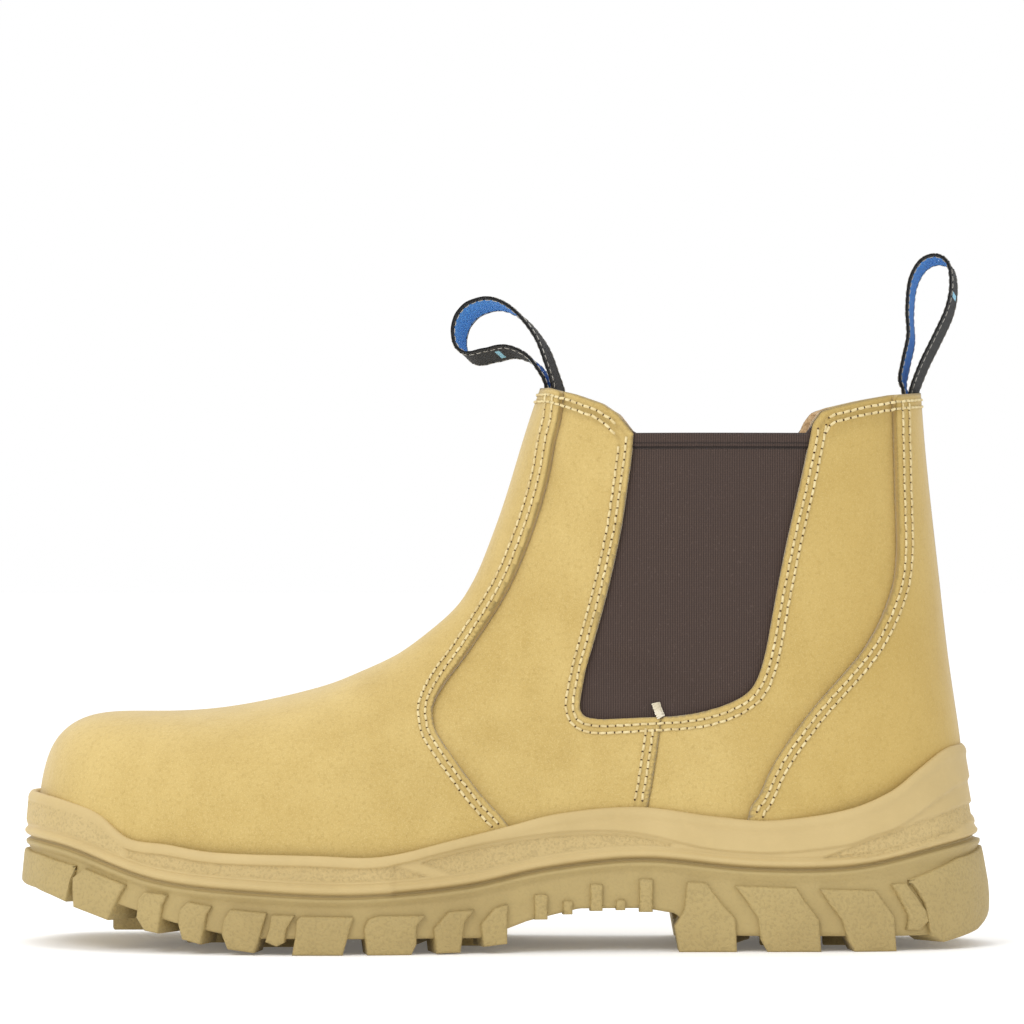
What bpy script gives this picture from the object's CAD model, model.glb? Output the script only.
import math
import random

import bpy
import numpy as np
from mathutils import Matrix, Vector
from mathutils.bvhtree import BVHTree


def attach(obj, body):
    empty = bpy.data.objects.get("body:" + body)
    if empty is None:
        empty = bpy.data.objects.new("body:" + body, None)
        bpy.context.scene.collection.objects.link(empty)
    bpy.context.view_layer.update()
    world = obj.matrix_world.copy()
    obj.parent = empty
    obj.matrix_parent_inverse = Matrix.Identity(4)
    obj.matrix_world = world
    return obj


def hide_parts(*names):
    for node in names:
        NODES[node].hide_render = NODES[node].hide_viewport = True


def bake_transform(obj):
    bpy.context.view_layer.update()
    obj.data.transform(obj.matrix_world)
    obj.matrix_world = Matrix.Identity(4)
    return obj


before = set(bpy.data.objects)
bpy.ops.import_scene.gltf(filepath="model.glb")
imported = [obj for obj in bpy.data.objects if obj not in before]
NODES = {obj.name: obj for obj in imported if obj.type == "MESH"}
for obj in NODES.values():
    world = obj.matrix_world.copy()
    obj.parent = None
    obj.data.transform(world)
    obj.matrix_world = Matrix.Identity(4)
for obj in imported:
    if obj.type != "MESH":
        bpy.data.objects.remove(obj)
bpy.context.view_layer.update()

# Left slip-on work boot: toe towards -X, heel towards +X, outer side towards -Y.
# Lengths in this script are millimetres until a mesh is made.
MM = 0.001

# ---- sizes -------------------------------------------------------------------------------------
LEATHER = 1.6
QUARTER_DEPTH = 1.8
GORE_DEPTH = 3.6
GORE_HEM = 4.6
LINING_DEPTH = 3.7
EDGE_RADIUS = 0.45
STITCH_PITCH = 2.55
STITCH_LENGTH = 2.15
THREAD_RADIUS = 0.40
FIRST_ROW = 2.2
SECOND_ROW = 4.4
SEWN_ROWS = (FIRST_ROW, SECOND_ROW)
# How far panels run on under the ones they are sewn to, and how far all of them run into the sole.
SEAM_LAP = 5.0
QUARTER_LAP = 3.0
GORE_LAP = 8.0
WELT_LAP = 4.0
# The front and rear quarters meet in a sewn seam below this height.
UNDER_GORE_Z = 70.5
# Mark for points that are nowhere near a sewn row.
FAR = 99.0
LINING_THICKNESS = 1.2
GORE_THICKNESS = 1.2

# ---- seam lines in the side view, as (x, z) ----------------------------------------------------
VAMP_EDGE = [
    (18, 200), (17.5, 172), (15.2, 160), (13, 148), (8.2, 132), (0.4, 113.4), (-11.5, 94.7),
    (-18.4, 85.3), (-22.1, 78.5), (-22.4, 73.2), (-20.0, 67), (-8.1, 50.7), (1.3, 39.8), (14, 20),
]
COUNTER_EDGE = [
    (123.5, 200), (124.1, 165), (124.5, 147), (124.8, 124), (122, 110.3), (113.6, 94.7),
    (97.4, 76.3), (85.8, 60.4), (80.3, 49), (76.8, 42), (72, 10),
]
GORE_OUTLINE = [
    (42, 190), (40.3, 161.8), (38.4, 146), (36.2, 131.5), (32.2, 113.4), (27.2, 94.7), (24.0, 80.5),
    (24.3, 75.2), (28.0, 73.3), (36, 73.3), (46.5, 73.9), (56, 74.6), (64.9, 75.9), (72.5, 78.4),
    (78.4, 83.2), (82.1, 92.8), (85.5, 110.3), (89.3, 128.7), (93.6, 146.8), (96.8, 161.8), (102, 190),
]
QUARTER_SEAM = [
    (49.6, 200), (49.6, 160), (49.6, 120), (49.6, 92), (49.5, 76), (48.7, 67.6), (46.8, 54.1),
    (45.0, 44), (42.5, 28), (40, 10),
]
COLLAR_LINE = [
    (-200, 177.3), (14.5, 177.3), (21, 175.4), (30.3, 172), (35.2, 168.8), (38.8, 164.6),
    (40.3, 162.8), (96.4, 162.8), (98, 166.5), (100.6, 169.7), (105, 171.2), (114.2, 173.3),
    (124, 175), (134, 175.9), (200, 176),
]
SOLE_RIM = [
    (-170, 48.8), (-152, 48.6), (-138, 46), (-129, 42.8), (-119, 35.7), (-106, 34), (-90, 31.8),
    (-60, 31), (-38, 30.6), (-15, 35.7), (2, 39.8), (18, 43.6), (42, 45.5), (66, 42.5),
    (84, 41.2), (107, 44.2), (123, 49.8), (134, 56.6), (144, 62.4), (152, 64), (170, 64),
]
GROOVE_LINE = [
    (-170, 35), (-141, 32.4), (-109.5, 22.6), (-75, 19.2), (-44, 18.3), (-12, 21), (14, 26.2),
    (44, 29), (78, 26), (110, 26.4), (140, 32.4), (170, 38),
]
BASE_LINE = [
    (-170, 28), (-137, 19.5), (-104, 9.8), (-82, 5.2), (-6, 5), (8, 10.2), (24, 13.9), (44, 13.9),
    (54, 12.2), (60, 5.2), (136, 4.8), (147, 9), (170, 20),
]
CONTOUR_LINE = [
    (-60, 24), (-32, 28.6), (-21.8, 31.1), (-6.2, 34.5), (15.3, 37.6), (32.5, 38.2), (45.9, 36.7),
    (62.1, 32.9), (75.9, 31.4), (89.3, 31.4), (107.4, 33.5), (116.4, 36.4), (126.4, 39.8),
    (141.7, 48.8), (152, 53), (170, 58),
]
CUP_FLOOR = [
    (-170, 40), (-128, 31), (-90, 23), (-52, 20.5), (-15, 23.6), (15, 29.5), (45, 32), (170, 31.5),
]
FOOTBED_LINE = [
    (-150, 44.5), (-128, 39), (-90, 31), (-52, 28.6), (-15, 32.4), (15, 38.6), (45, 41.8), (150, 42.4),
]


# ---- small helpers -----------------------------------------------------------------------------
def smooth_line(points, per_span=8):
    """Catmull-Rom curve through a list of points, as an array."""
    p = np.array(points, float)
    ends = np.vstack([2 * p[0] - p[1], p, 2 * p[-1] - p[-2]])
    t = np.linspace(0, 1, per_span, endpoint=False)[:, None]
    spans = []
    for k in range(len(p) - 1):
        a, b, c, d = ends[k:k + 4]
        spans.append(0.5 * (2 * b + (c - a) * t + (2 * a - 5 * b + 4 * c - d) * t ** 2
                            + (3 * b - a - 3 * c + d) * t ** 3))
    return np.vstack(spans + [p[-1:]])


def height_at(line, x):
    dense = smooth_line(line)
    return np.interp(x, dense[:, 0], dense[:, 1])


def straight_height_at(line, x):
    points = np.array(line, float)
    return np.interp(x, points[:, 0], points[:, 1])


def side_of(line, x, z):
    """Signed distance to a line: positive on the right of its direction of travel."""
    shape = np.shape(x)
    points = np.column_stack([np.ravel(x), np.ravel(z)])
    start = line[:-1]
    run = line[1:] - start
    length2 = (run ** 2).sum(1)
    out = np.empty(len(points))
    for k in range(0, len(points), 20000):
        part = points[k:k + 20000, None, :] - start[None]
        t = np.clip((part * run).sum(2) / length2, 0, 1)
        gap = part - t[..., None] * run
        distance = np.sqrt((gap ** 2).sum(2))
        near = distance.argmin(1)
        rows = np.arange(len(near))
        cross = run[near, 1] * part[rows, near, 0] - run[near, 0] * part[rows, near, 1]
        out[k:k + 20000] = np.sign(cross) * distance[rows, near]
    return out.reshape(shape)


def ramp(value, low, high):
    t = np.clip((value - low) / (high - low), 0, 1)
    return t * t * (3 - 2 * t)


def offset_line(line, distance):
    """The line moved to the right of its direction of travel."""
    run = np.gradient(line, axis=0)
    run /= np.linalg.norm(run, axis=1)[:, None]
    return line + distance * np.column_stack([run[:, 1], -run[:, 0]])


def unit(vectors):
    length = np.linalg.norm(vectors, axis=-1, keepdims=True)
    return vectors / np.maximum(length, 1e-9)


def ring_faces(size, rings):
    """Four-sided faces that join closed rings of points, each ring to the one after it."""
    return [(r * size + k, r * size + (k + 1) % size, (r + 1) * size + (k + 1) % size, (r + 1) * size + k)
            for r in range(rings - 1) for k in range(size)]


def new_object(name, points, faces, material, marks=None, face_material=None, smooth=True):
    """Mesh object from points in mm, with named per-point numbers for the materials."""
    mesh = bpy.data.meshes.new(name)
    mesh.from_pydata((np.asarray(points, float) * MM).tolist(), [], [tuple(f) for f in faces])
    for label, values in (marks or {}).items():
        layer = mesh.attributes.new(label, "FLOAT", "POINT")
        layer.data.foreach_set("value", np.asarray(values, np.float32))
    for item in material if isinstance(material, list) else [material]:
        mesh.materials.append(item)
    if face_material is not None:
        mesh.polygons.foreach_set("material_index", np.asarray(face_material, np.int32))
    mesh.polygons.foreach_set("use_smooth", [smooth] * len(mesh.polygons))
    mesh.update()
    obj = bpy.data.objects.new(name, mesh)
    bpy.context.scene.collection.objects.link(obj)
    return obj


# ---- materials ---------------------------------------------------------------------------------
class Nodes:
    """Thin wrapper that makes a procedural material's nodes and links."""

    def __init__(self, name):
        self.material = bpy.data.materials.new(name)
        self.material.use_nodes = True
        self.tree = self.material.node_tree
        self.shader = self.tree.nodes["Principled BSDF"]
        self.place = self.tree.nodes.new("ShaderNodeTexCoord").outputs["Object"]

    def add(self, kind, **sockets):
        node = self.tree.nodes.new(kind)
        for label, value in sockets.items():
            key = int(label[1:]) if label[0] == "i" and label[1:].isdigit() else label.replace("_", " ")
            self.put(node.inputs[key], value)
        return node

    def put(self, socket, value):
        if isinstance(value, bpy.types.NodeSocket):
            self.tree.links.new(value, socket)
        else:
            socket.default_value = value

    def math(self, operation, a, b=0.0):
        node = self.add("ShaderNodeMath", i0=a, i1=b)
        node.operation = operation
        return node.outputs[0]

    def noise(self, scale, detail=4.0, roughness=0.55, stretch=None):
        place = self.place
        if stretch:
            place = self.add("ShaderNodeMapping", Vector=self.place, Scale=stretch).outputs[0]
        return self.add("ShaderNodeTexNoise", Vector=place, Scale=scale, Detail=detail,
                        Roughness=roughness).outputs["Fac"]

    def spread(self, value, low, high, out_low=0.0, out_high=1.0):
        node = self.add("ShaderNodeMapRange", Value=value)
        for key, number in (("From Min", low), ("From Max", high), ("To Min", out_low), ("To Max", out_high)):
            node.inputs[key].default_value = number
        return node.outputs[0]

    def mix(self, factor, a, b):
        node = self.tree.nodes.new("ShaderNodeMix")
        node.data_type = "RGBA"
        self.put(node.inputs["Factor"], factor)
        self.put(node.inputs["A"], a)
        self.put(node.inputs["B"], b)
        return node.outputs["Result"]

    def mark(self, name):
        node = self.tree.nodes.new("ShaderNodeAttribute")
        node.attribute_name = name
        return node.outputs["Fac"]

    def bump(self, height, strength, distance, below=None):
        node = self.add("ShaderNodeBump", Height=height, Strength=strength, Distance=distance)
        if below is not None:
            self.put(node.inputs["Normal"], below)
        return node.outputs[0]

    def finish(self, colour, roughness, normal=None, **fixed):
        self.put(self.shader.inputs["Base Color"], colour)
        self.put(self.shader.inputs["Roughness"], roughness)
        if normal is not None:
            self.put(self.shader.inputs["Normal"], normal)
        for label, value in fixed.items():
            self.shader.inputs[label.replace("_", " ")].default_value = value
        return self.material


def rgb(red, green, blue):
    return (red, green, blue, 1.0)


def suede():
    """Brushed leather, darker along its cut edges and sunk where it is sewn."""
    n = Nodes("suede_leather")
    broad = n.noise(14.0, 3.0, 0.6)
    cloud = n.noise(55.0, 5.0, 0.65)
    brushed = n.noise(120.0, 6.0, 0.7, stretch=(1.0, 1.0, 0.45))
    nap = n.noise(900.0, 3.0, 0.6)
    fibre = n.noise(2600.0, 2.0, 0.6)
    light = rgb(0.570, 0.420, 0.158)
    dark = rgb(0.480, 0.340, 0.112)
    colour = n.mix(n.spread(broad, 0.30, 0.72), dark, light)
    colour = n.mix(n.spread(cloud, 0.40, 0.75, 0.0, 0.35), colour, rgb(0.620, 0.470, 0.190))
    colour = n.mix(n.spread(brushed, 0.45, 0.75, 0.0, 0.30), colour, rgb(0.410, 0.282, 0.086))
    colour = n.mix(n.spread(nap, 0.50, 0.72, 0.0, 0.34), colour, rgb(0.34, 0.228, 0.066))
    colour = n.mix(n.spread(fibre, 0.50, 0.72, 0.0, 0.34), colour, rgb(0.74, 0.600, 0.290))
    apart = n.add("ShaderNodeSeparateXYZ", Vector=n.place).outputs["X"]
    colour = n.mix(n.spread(apart, 0.06, 0.16, 0.0, 0.55), colour, rgb(0.455, 0.300, 0.070))
    edge = n.mark("edge_mm")
    colour = n.mix(n.spread(edge, 0.0, 1.0, 0.50, 0.0), colour, rgb(0.36, 0.245, 0.085))
    row = n.mark("row_mm")
    sunk = n.math("MINIMUM", n.math("ABSOLUTE", n.math("SUBTRACT", row, FIRST_ROW)),
                  n.math("ABSOLUTE", n.math("SUBTRACT", row, SECOND_ROW)))
    valley = n.spread(sunk, 0.0, 0.95, 0.0, 1.0)
    colour = n.mix(n.spread(sunk, 0.0, 0.9, 0.30, 0.0), colour, rgb(0.36, 0.245, 0.085))
    normal = n.bump(valley, 0.55, 0.0006)
    normal = n.bump(brushed, 0.30, 0.0009, normal)
    normal = n.bump(nap, 0.42, 0.0003, normal)
    normal = n.bump(fibre, 0.35, 0.00012, normal)
    rough = n.spread(cloud, 0.3, 0.7, 0.82, 0.95)
    return n.finish(colour, rough, normal, Sheen_Weight=0.28, Sheen_Roughness=0.45,
                    Specular_IOR_Level=0.18)


def moulded(name, light, dark, pebble_scale=1050.0):
    """Moulded polyurethane, pebbled where the mark says so."""
    n = Nodes(name)
    broad = n.noise(18.0, 4.0, 0.6)
    dust = n.noise(210.0, 5.0, 0.7)
    colour = n.mix(n.spread(broad, 0.35, 0.7), dark, light)
    colour = n.mix(n.spread(dust, 0.52, 0.75, 0.0, 0.20), colour, rgb(*[c * 1.15 for c in light[:3]]))
    lumps = n.spread(n.noise(pebble_scale, 2.0, 0.5), 0.36, 0.64)
    mark = n.mark("pebble")
    colour = n.mix(n.math("MULTIPLY", mark, n.spread(lumps, 0.0, 0.5, 0.34, 0.0)), colour,
                   rgb(*[c * 0.62 for c in dark[:3]]))
    shade = n.mark("hollow")
    colour = n.mix(n.math("MULTIPLY", shade, 0.55), colour, rgb(*[c * 0.42 for c in dark[:3]]))
    normal = n.bump(n.math("MULTIPLY", lumps, mark), 0.60, 0.00030)
    normal = n.bump(n.noise(1300.0, 3.0), 0.22, 0.0002, normal)
    normal = n.bump(dust, 0.12, 0.0004, normal)
    rough = n.math("ADD", n.spread(dust, 0.3, 0.7, 0.48, 0.60), n.math("MULTIPLY", mark, 0.12))
    return n.finish(colour, rough, normal, Specular_IOR_Level=0.38)


def elastic():
    """Ribbed elastic webbing: upright ribs crossed by fine weft."""
    n = Nodes("elastic_gore")
    rib = n.add("ShaderNodeTexWave", Vector=n.place, Scale=420.0, Distortion=0.35, Detail=1.0)
    rib.bands_direction = "X"
    weft = n.add("ShaderNodeTexWave", Vector=n.place, Scale=560.0, Distortion=0.5, Detail=1.0)
    weft.bands_direction = "Z"
    fuzz = n.noise(1500.0, 3.0)
    broad = n.noise(30.0, 3.0)
    weave = n.math("MULTIPLY", rib.outputs["Fac"], n.spread(weft.outputs["Fac"], 0.0, 1.0, 0.55, 1.0))
    colour = n.mix(n.spread(weave, 0.1, 0.8), rgb(0.040, 0.026, 0.021), rgb(0.082, 0.054, 0.043))
    colour = n.mix(n.spread(fuzz, 0.58, 0.78, 0.0, 0.35), colour, rgb(0.17, 0.125, 0.11))
    below_top = n.mark("row_mm")
    fold = n.math("ABSOLUTE", n.math("SUBTRACT", below_top, GORE_HEM))
    sewn = n.math("ABSOLUTE", n.math("SUBTRACT", below_top, GORE_HEM - 1.5))
    crease = n.math("MAXIMUM", n.spread(fold, 0.15, 0.55, 1.0, 0.0), n.spread(sewn, 0.1, 0.35, 0.6, 0.0))
    colour = n.mix(n.math("MULTIPLY", crease, 0.85), colour, rgb(0.012, 0.008, 0.007))
    colour = n.mix(n.spread(broad, 0.4, 0.7, 0.0, 0.25), colour, rgb(0.055, 0.036, 0.030))
    normal = n.bump(weave, 0.4, 0.0003)
    normal = n.bump(fuzz, 0.3, 0.0002, normal)
    normal = n.bump(crease, 0.8, -0.0006, normal)
    return n.finish(colour, n.spread(fuzz, 0.3, 0.7, 0.72, 0.9), normal, Sheen_Weight=0.12,
                    Specular_IOR_Level=0.22)


def webbing(name, low, high):
    n = Nodes(name)
    along = n.add("ShaderNodeTexWave", Vector=n.place, Scale=480.0, Distortion=0.6, Detail=1.0)
    along.bands_direction = "DIAGONAL"
    cross = n.add("ShaderNodeTexWave", Vector=n.place, Scale=520.0, Distortion=0.6, Detail=1.0)
    cross.bands_direction = "Y"
    weave = n.math("MULTIPLY", along.outputs["Fac"], cross.outputs["Fac"])
    fuzz = n.noise(1300.0, 3.0)
    colour = n.mix(n.spread(weave, 0.05, 0.7), low, high)
    colour = n.mix(n.spread(fuzz, 0.55, 0.8, 0.0, 0.3), colour, rgb(*[min(1.0, c * 1.8) for c in high[:3]]))
    normal = n.bump(weave, 0.7, 0.0004)
    return n.finish(colour, n.spread(fuzz, 0.3, 0.7, 0.75, 0.92), normal, Specular_IOR_Level=0.2,
                    Sheen_Weight=0.1)


def thread(name, light, dark):
    n = Nodes(name)
    ply = n.add("ShaderNodeTexWave", Vector=n.place, Scale=900.0, Distortion=1.0, Detail=1.0)
    ply.bands_direction = "DIAGONAL"
    patch = n.noise(300.0, 3.0)
    colour = n.mix(n.spread(patch, 0.35, 0.7), dark, light)
    colour = n.mix(n.spread(ply.outputs["Fac"], 0.0, 0.5, 0.3, 0.0), colour, dark)
    return n.finish(colour, n.spread(patch, 0.3, 0.7, 0.55, 0.7), n.bump(ply.outputs["Fac"], 0.5, 0.0002),
                    Specular_IOR_Level=0.3)


def cloth(name, low, high, scale=700.0):
    n = Nodes(name)
    knit = n.add("ShaderNodeTexVoronoi", Vector=n.place, Scale=scale)
    loops = knit.outputs["Distance"]
    broad = n.noise(40.0, 4.0)
    colour = n.mix(n.spread(loops, 0.1, 0.7), high, low)
    colour = n.mix(n.spread(broad, 0.4, 0.7, 0.0, 0.35), colour, rgb(*[c * 1.25 for c in high[:3]]))
    return n.finish(colour, n.spread(broad, 0.3, 0.7, 0.8, 0.95), n.bump(loops, 0.6, -0.0006),
                    Sheen_Weight=0.15, Specular_IOR_Level=0.2)


def metal(name, low, high, metallic):
    n = Nodes(name)
    broad = n.noise(60.0, 5.0)
    brushed = n.noise(200.0, 4.0, stretch=(0.1, 1.0, 1.0))
    colour = n.mix(n.spread(broad, 0.35, 0.65), low, high)
    colour = n.mix(n.spread(brushed, 0.5, 0.8, 0.0, 0.3), colour, rgb(*[c * 0.6 for c in low[:3]]))
    return n.finish(colour, n.spread(brushed, 0.3, 0.7, 0.30, 0.48), n.bump(brushed, 0.15, 0.0003),
                    Metallic=metallic)


SUEDE = suede()
MIDSOLE = moulded("midsole_polyurethane", rgb(0.550, 0.415, 0.190), rgb(0.480, 0.356, 0.154))
TREAD = moulded("tread_polyurethane", rgb(0.430, 0.325, 0.135), rgb(0.365, 0.270, 0.108), 1000.0)
GORE = elastic()
BLACK_TAPE = webbing("black_tape", rgb(0.005, 0.005, 0.005), rgb(0.022, 0.021, 0.020))
BLUE_TAPE = webbing("blue_tape", rgb(0.048, 0.210, 0.560), rgb(0.105, 0.380, 0.830))
PALE_MARK = webbing("pale_blue_mark", rgb(0.20, 0.46, 0.62), rgb(0.36, 0.66, 0.80))
CREAM_THREAD = thread("cream_thread", rgb(0.820, 0.700, 0.400), rgb(0.620, 0.480, 0.225))
PALE_THREAD = thread("pale_thread", rgb(0.62, 0.60, 0.54), rgb(0.34, 0.32, 0.28))
PALE_TACK = thread("pale_bar_tack", rgb(0.86, 0.80, 0.66), rgb(0.66, 0.58, 0.42))
NEEDLE_HOLE = thread("needle_hole", rgb(0.125, 0.062, 0.022), rgb(0.060, 0.028, 0.010))
LINING = cloth("lining_fabric", rgb(0.50, 0.33, 0.17), rgb(0.62, 0.44, 0.25))
FOOTBED = cloth("footbed_fabric", rgb(0.030, 0.030, 0.034), rgb(0.085, 0.085, 0.095), 520.0)
FOAM = cloth("footbed_foam", rgb(0.09, 0.09, 0.10), rgb(0.16, 0.16, 0.17), 1100.0)
BOARD = cloth("fibre_board", rgb(0.40, 0.31, 0.20), rgb(0.56, 0.46, 0.33), 1300.0)
STIFFENER = cloth("stiffener_sheet", rgb(0.60, 0.56, 0.48), rgb(0.76, 0.72, 0.64), 1500.0)
CAP_STEEL = metal("coated_steel", rgb(0.10, 0.12, 0.13), rgb(0.17, 0.19, 0.20), 0.6)
SHANK_STEEL = metal("spring_steel", rgb(0.42, 0.43, 0.44), rgb(0.58, 0.59, 0.60), 1.0)


# ---- the upper's skin, measured from the frame -------------------------------------------------
LAYERS = {
    0.0: ["vamp_toe", "vamp_flex", "vamp_instep", "back_panel"],
    QUARTER_DEPTH: ["front_quarter_outer", "front_quarter_inner", "rear_quarter_outer", "rear_quarter_inner"],
    GORE_DEPTH: ["gore_outer", "gore_inner"],
}
TOE_X, TOE_Z = -105.0, 30.0
FAN_X, FAN_Z = -60.0, 130.0
COLUMNS = 48
REFINE = 3


def tree_of(names):
    """Ray tree of some CAD nodes in mm, and the node that each triangle belongs to."""
    points = []
    faces = []
    owner = []
    for name in names:
        base = len(points)
        mesh = NODES[name].data
        points += [v.co / MM for v in mesh.vertices]
        for polygon in mesh.polygons:
            faces.append([base + k for k in polygon.vertices])
            owner.append(name)
    return BVHTree.FromPolygons(points, faces), owner


def stations():
    """Section planes from toe to collar: centre (x, z), direction to the ridge, half spread in degrees."""
    planes = []
    for angle in np.arange(166, 90, -3.0):
        a = math.radians(angle)
        planes.append(((TOE_X, TOE_Z), (math.cos(a), math.sin(a)), 88.0))
    for x in np.arange(TOE_X, FAN_X, 3.0):
        share = (x - TOE_X) / (FAN_X - TOE_X)
        planes.append(((x, TOE_Z + 7 * share), (0.0, 1.0), 90 + 10 * share))
    for angle in np.arange(-90, 37.5, 1.5):
        a = math.radians(angle)
        reach = np.interp(angle, [-90, -58, -44, -36, -29, -22, -12, 0, 10, 22, 36],
                          [93, 104, 120, 132, 138, 139, 133, 128.5, 131, 140, 165])
        spread = np.interp(angle, [-90, -74, -58, -44, -36, -30, -26, -24],
                           [100, 104, 111, 124, 134, 155, 174, 180])
        centre = (FAN_X + reach * math.cos(a), FAN_Z + reach * math.sin(a))
        planes.append((centre, (-math.cos(a), -math.sin(a)), spread))
    return planes


def fill_gaps(values, known):
    """Missing entries of one line of points: between known ones by blending, past them in a straight line."""
    index = np.nonzero(known)[0]
    if len(index) < 3:
        return False
    every = np.arange(len(values))
    for axis in range(3):
        values[:, axis] = np.interp(every, index, values[index, axis])
    for side, step in ((index[0], -1), (index[-1], 1)):
        slope = (values[side] - values[side - 3 * step]) / 3
        k = side + step
        while 0 <= k < len(values):
            values[k] = values[k - step] + slope
            k += step
    return True


def cast_skin():
    """Grid of points on the upper's outside, as if all its panels lay in one surface."""
    depth_of = {name: depth for depth, names in LAYERS.items() for name in names}
    tree, owner = tree_of(depth_of)
    planes = stations()
    grid = np.zeros((len(planes), 2 * COLUMNS + 1, 3))
    known = np.zeros(grid.shape[:2], bool)
    for i, (centre, ahead, spread) in enumerate(planes):
        middle_y = np.interp(centre[0], [-150, -118, -60, 0, 60], [10.5, 5.5, -0.5, -2.0, 0.0])
        middle = Vector((centre[0], middle_y, centre[1]))
        for j in range(-COLUMNS, COLUMNS + 1):
            turn = math.radians(spread) * j / COLUMNS
            out = Vector((math.cos(turn) * ahead[0], math.sin(turn), math.cos(turn) * ahead[1]))
            hit, normal, face, _ = tree.ray_cast(middle + out * 260, -out, 258)
            if hit is not None and abs(normal.dot(out)) > 0.35:
                away = normal if normal.dot(out) > 0 else -normal
                grid[i, j + COLUMNS] = hit + away * depth_of[owner[face]]
                known[i, j + COLUMNS] = True
    for j in range(grid.shape[1]):
        if fill_gaps(grid[:, j], known[:, j]):
            known[:, j] = True
    for i in range(grid.shape[0]):
        fill_gaps(grid[i], known[i])
    return without_strays(grid, known)


def without_strays(grid, known):
    """Points that stand off the gentle flank round the gore are filled from their neighbours."""
    calm = relax(grid.copy(), 4)
    stray = np.linalg.norm(grid - calm, axis=2) > 0.8
    x, y, z = np.moveaxis(grid, 2, 0)
    stray &= (np.abs(y) > 28) & (x > 15) & (x < 110) & (z > 60) & (z < 170)
    known &= ~stray
    for i in range(grid.shape[0]):
        fill_gaps(grid[i], known[i])
    return grid


def relax(grid, passes):
    for _ in range(passes):
        grid[1:-1] = 0.5 * grid[1:-1] + 0.25 * (grid[:-2] + grid[2:])
        grid[:, 1:-1] = 0.5 * grid[:, 1:-1] + 0.25 * (grid[:, :-2] + grid[:, 2:])
    return grid


def refined(grid):
    for axis in (0, 1):
        lines = np.moveaxis(grid, axis, 0)
        flat = lines.reshape(len(lines), -1)
        dense = smooth_line(flat, REFINE).reshape((-1,) + lines.shape[1:])
        grid = np.moveaxis(dense, 0, axis)
    return grid


def grid_normals(grid):
    down = np.gradient(grid, axis=0)
    across = np.gradient(grid, axis=1)
    normals = unit(np.cross(across, down))
    middle = normals[len(normals) // 2, normals.shape[1] // 2]
    return -normals if middle[2] < 0 and middle[0] > 0 else normals


SKIN = refined(relax(cast_skin(), 3))
NORMAL = grid_normals(SKIN)
SX, SY, SZ = SKIN[..., 0], SKIN[..., 1], SKIN[..., 2]


def skin_tree():
    rows, columns = SKIN.shape[:2]
    points = [Vector(p) for p in SKIN.reshape(-1, 3)]
    faces = [(i * columns + j, i * columns + j + 1, (i + 1) * columns + j + 1, (i + 1) * columns + j)
             for i in range(rows - 1) for j in range(columns - 1)]
    return BVHTree.FromPolygons(points, faces)


SKIN_TREE = skin_tree()

LINE_VAMP = smooth_line(VAMP_EDGE)
LINE_COUNTER = smooth_line(COUNTER_EDGE)
LINE_GORE = smooth_line(GORE_OUTLINE, 6)
LINE_SEAM = smooth_line(QUARTER_SEAM)
LINE_COLLAR = np.array(COLLAR_LINE, float)

# Positive inside each region of the side view.
LEFT_OF_VAMP_EDGE = side_of(LINE_VAMP, SX, SZ)
RIGHT_OF_COUNTER = -side_of(LINE_COUNTER, SX, SZ)
OUTSIDE_GORE = side_of(LINE_GORE, SX, SZ)
LEFT_OF_SEAM = side_of(LINE_SEAM, SX, SZ)
BELOW_COLLAR = side_of(LINE_COLLAR, SX, SZ)
ABOVE_WELT = SZ - (height_at(SOLE_RIM, SX) - WELT_LAP)


# ---- panels ------------------------------------------------------------------------------------
def cut_sheet(field):
    """Part of the skin where the field is positive, with its edge running exactly along zero."""
    rows, columns = field.shape
    points = SKIN.copy()
    value = field.copy()
    sign = field > 0
    changes = np.zeros_like(sign)
    changes[:-1] |= sign[:-1] != sign[1:]
    changes[1:] |= sign[1:] != sign[:-1]
    changes[:, :-1] |= sign[:, :-1] != sign[:, 1:]
    changes[:, 1:] |= sign[:, 1:] != sign[:, :-1]
    for i, j in np.argwhere(changes):
        best = 0.5000001
        for di, dj in ((1, 0), (-1, 0), (0, 1), (0, -1)):
            a, b = i + di, j + dj
            if 0 <= a < rows and 0 <= b < columns and sign[a, b] != sign[i, j]:
                t = field[i, j] / (field[i, j] - field[a, b])
                if t < best:
                    best = t
                    points[i, j] = SKIN[i, j] + (SKIN[a, b] - SKIN[i, j]) * t
                    value[i, j] = 0.0
    number = -np.ones(field.shape, int)
    used = []
    faces = []
    for i, j in np.argwhere((value[:-1, :-1] >= 0) | (value[1:, 1:] >= 0)):
        corners = [(i, j), (i, j + 1), (i + 1, j + 1), (i + 1, j)]
        keep = [c for c in corners if value[c] >= 0]
        if len(keep) < 3 or not any(value[c] > 0 for c in keep):
            continue
        for c in keep:
            if number[c] < 0:
                number[c] = len(used)
                used.append(c)
        faces.append([number[c] for c in keep])
    index = tuple(np.array(used).T)
    return points[index], index, faces, value[index]


def edge_loops(faces):
    """Runs of boundary points, each in the order that keeps the sheet on its left."""
    seen = {}
    for face in faces:
        for a, b in zip(face, face[1:] + face[:1]):
            seen[(a, b)] = True
    after = {}
    for a, b in seen:
        if (b, a) not in seen:
            after.setdefault(a, []).append(b)
    loops = []
    while after:
        start = next(iter(after))
        loop = [start]
        here = after[start].pop()
        if not after[start]:
            del after[start]
        while here != start and here in after:
            loop.append(here)
            onward = after[here].pop()
            if not after[here]:
                del after[here]
            here = onward
        if len(loop) > 8:
            loops.append(loop)
    return loops


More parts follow.
